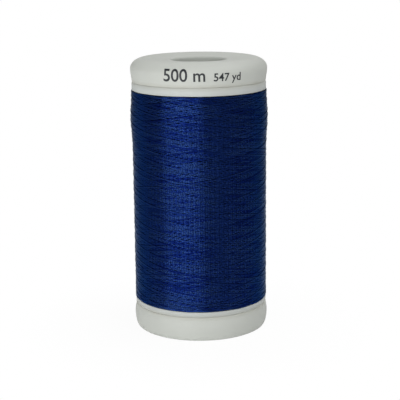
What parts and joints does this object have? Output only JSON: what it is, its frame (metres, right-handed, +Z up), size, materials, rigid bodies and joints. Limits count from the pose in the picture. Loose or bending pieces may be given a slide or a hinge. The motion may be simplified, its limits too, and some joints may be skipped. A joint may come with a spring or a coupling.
{
  "type": "spool of sewing thread",
  "caption": "Snap spool of dark blue sewing thread: flanged tubular core, cross-wound thread and off-white end caps that pull out to hold the thread end; the bore takes a spool pin.",
  "frame": {"origin": "centre of the base cap's resting face, on the spool axis", "axes": "+Z up along the spool axis from the base cap to the top cap; the pictured side faces -Y"},
  "size_m": [0.0322, 0.0322, 0.0644],
  "materials": {
    "cap_plastic": "moulded, satin",
    "core_plastic": "moulded, satin",
    "thread": "dyed spun polyester, cross-wound"
  },
  "bodies": {
    "spool": {"spool_core": "core_plastic", "thread_winding": "thread"},
    "top_cap": {"top_cap": "cap_plastic"},
    "base_cap": {"base_cap": "cap_plastic"}
  },
  "joints": [
    {"name": "top_cap_slide", "type": "slide", "parent": "spool", "child": "top_cap", "axis": [0, 0, 1], "range_m": [0, 0.003]},
    {"name": "base_cap_slide", "type": "slide", "parent": "base_cap", "child": "spool", "axis": [0, 0, 1], "range_m": [0, 0.003]}
  ]
}
